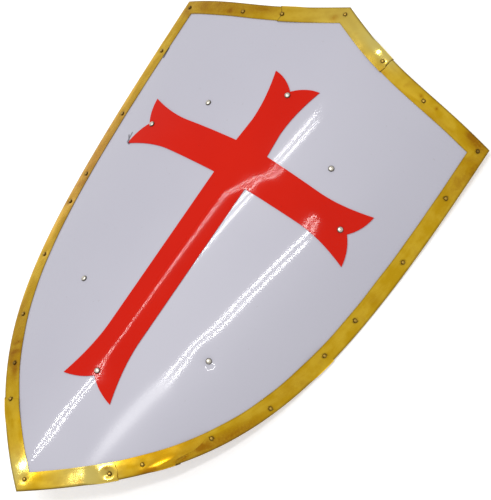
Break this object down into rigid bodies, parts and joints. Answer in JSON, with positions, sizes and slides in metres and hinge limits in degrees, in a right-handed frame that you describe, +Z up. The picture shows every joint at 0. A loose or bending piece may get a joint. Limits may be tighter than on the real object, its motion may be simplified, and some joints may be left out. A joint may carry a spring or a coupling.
{
  "type": "knight shield",
  "caption": "Pointed heater shield of bent steel, enamelled white with a riveted red cross, a folded brass rim and leather arm straps on the back.",
  "frame": {"origin": "on the floor under the middle of the shield's box, as it lies face up on its two side edges", "axes": "+X to the shield's right as its front is seen, +Y from the tip to the peak, +Z up and out of the front"},
  "size_m": [0.4704, 0.711, 0.0675],
  "materials": {
    "white_enamel": "glossy pale grey-white enamel with a fine orange peel",
    "red_enamel": "glossy red enamel",
    "brass": "hand-worked, slightly wavy, with brown stains",
    "steel": "dull, warm grey",
    "leather": "plain brown, smooth side out"
  },
  "bodies": {
    "root": {"plate": "white_enamel", "cross": "red_enamel", "rim_peak": "brass", "rim_tip": "brass", "rim_right_foot": "brass", "rim_right_low": "brass", "rim_right": "brass", "rim_left": "brass", "rim_rivet_01": "brass", "rim_rivet_02": "brass", "rim_rivet_03": "brass", "rim_rivet_04": "brass", "rim_rivet_05": "brass", "rim_rivet_06": "brass", "rim_rivet_07": "brass", "rim_rivet_08": "brass", "rim_rivet_09": "brass", "rim_rivet_10": "brass", "rim_rivet_11": "brass", "rim_rivet_12": "brass", "rim_rivet_13": "brass", "rim_rivet_14": "brass", "rim_rivet_15": "brass", "rim_rivet_16": "brass", "rim_rivet_17": "brass", "rim_rivet_18": "brass", "rim_rivet_19": "brass", "rim_rivet_20": "brass", "rim_rivet_21": "brass", "rim_rivet_22": "brass", "rim_rivet_23": "brass", "rim_rivet_24": "brass", "cross_rivet_right": "steel", "cross_rivet_top": "steel", "cross_rivet_left": "steel", "cross_rivet_foot": "steel", "strap_rivet_left_top": "steel", "strap_rivet_left_bottom": "steel", "strap_rivet_right_top": "steel", "strap_rivet_right_bottom": "steel", "strap_washer_left_top": "steel", "strap_washer_left_bottom": "steel", "strap_washer_right_top": "steel", "strap_washer_right_bottom": "steel", "strap_left": "leather", "strap_right": "leather"}
  },
  "joints": []
}
